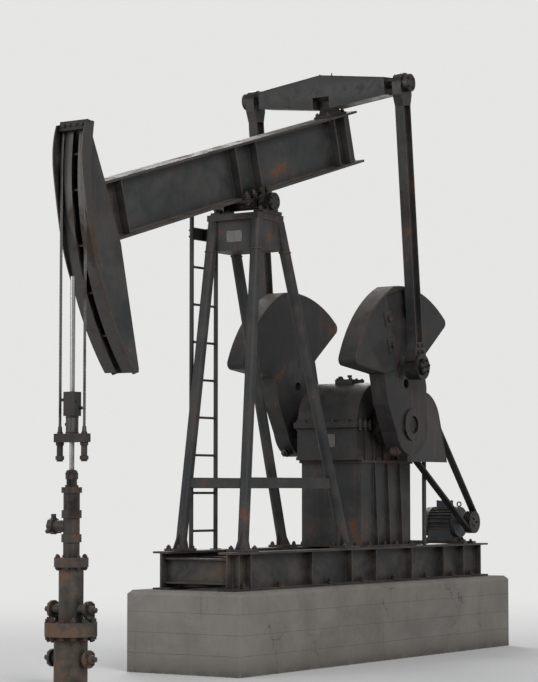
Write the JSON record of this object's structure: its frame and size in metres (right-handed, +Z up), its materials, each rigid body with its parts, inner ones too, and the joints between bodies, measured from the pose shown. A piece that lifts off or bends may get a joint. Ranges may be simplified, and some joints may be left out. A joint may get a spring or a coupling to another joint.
{
  "type": "beam pumping unit",
  "caption": "Oil well beam pumping unit on a concrete plinth: a rocking beam with a curved head works the rod in the wellhead, driven by cranks, weights, gearbox and belts.",
  "frame": {"origin": "on the ground under the saddle bearing", "axes": "+X from the well towards the motor, +Y towards the ladder's side, +Z up"},
  "size_m": [5.8923, 1.685, 5.0015],
  "materials": {
    "bare_steel": "satin",
    "beam_paint": "matte",
    "belt_rubber": "matte",
    "casting": "matte",
    "concrete": "matte",
    "frame_paint": "matte",
    "guard_paint": "satin",
    "motor_paint": "satin",
    "rod_steel": "polished",
    "wellhead_paint": "matte"
  },
  "bodies": {
    "base": {"foundation": "concrete", "skid_rails": "frame_paint", "skid_cross_members": "frame_paint", "front_legs": "frame_paint", "rear_legs": "frame_paint", "side_ties": "frame_paint", "cross_ties": "frame_paint", "post_head": "frame_paint", "saddle_bearings": "casting", "casing_head": "wellhead_paint", "tubing_head": "wellhead_paint", "pumping_tee": "wellhead_paint", "stuffing_box": "wellhead_paint", "gearbox_lower_case": "casting", "gearbox_upper_case": "casting", "breather": "bare_steel", "bearing_caps": "casting", "pedestal_sides": "frame_paint", "pedestal_ends": "frame_paint", "pedestal_cap": "frame_paint", "unit_sheave": "casting", "motor_sheave": "casting", "v_belts": "belt_rubber", "motor": "motor_paint", "motor_rails": "frame_paint", "belt_guard": "guard_paint", "guard_post": "frame_paint", "ladder": "frame_paint"},
    "beam": {"walking_beam": "beam_paint", "saddle": "casting", "saddle_shaft": "bare_steel", "head_side_plates": "beam_paint", "head_back_plate": "beam_paint", "head_track": "bare_steel", "head_ribs": "beam_paint", "wire_anchor": "casting", "wire_wraps": "bare_steel", "tail_bearing_stand": "casting"},
    "equalizer_body": {"equalizer": "beam_paint", "tail_shaft": "bare_steel", "pitman_pins": "bare_steel", "near_pitman": "beam_paint", "far_pitman": "beam_paint", "wrist_pins": "bare_steel"},
    "crank_body": {"crankshaft": "bare_steel", "near_crank": "casting", "far_crank": "casting", "near_counterweights": "casting", "far_counterweights": "casting"},
    "rod_body": {"polished_rod": "rod_steel", "carrier_bar": "casting", "load_cell": "bare_steel", "rod_clamp": "casting", "wire_lines": "bare_steel"}
  },
  "joints": [
    {"name": "beam_rock", "type": "hinge", "parent": "base", "child": "beam", "pos_m": [0, 0, 3.75], "axis": [0, 1, 0], "range_deg": [0, 37.4]},
    {"name": "rod_lift", "type": "slide", "parent": "base", "child": "rod_body", "axis": [0, 0, 1], "range_m": [0, 1.451]},
    {"name": "equalizer_swing", "type": "hinge", "parent": "beam", "child": "equalizer_body", "pos_m": [1.225, 0, 4.852], "axis": [0, 1, 0], "range_deg": [-30.4, 0]},
    {"name": "crank_turn", "type": "hinge", "parent": "base", "child": "crank_body", "pos_m": [1.59, 0, 1.98], "axis": [0, 1, 0], "continuous": true}
  ],
  "couplings": [
    {"joint": "rod_lift", "follows": "beam_rock", "m_per_rad": 2.2223},
    {"joint": "equalizer_swing", "follows": "beam_rock", "ratio": -0.809}
  ]
}
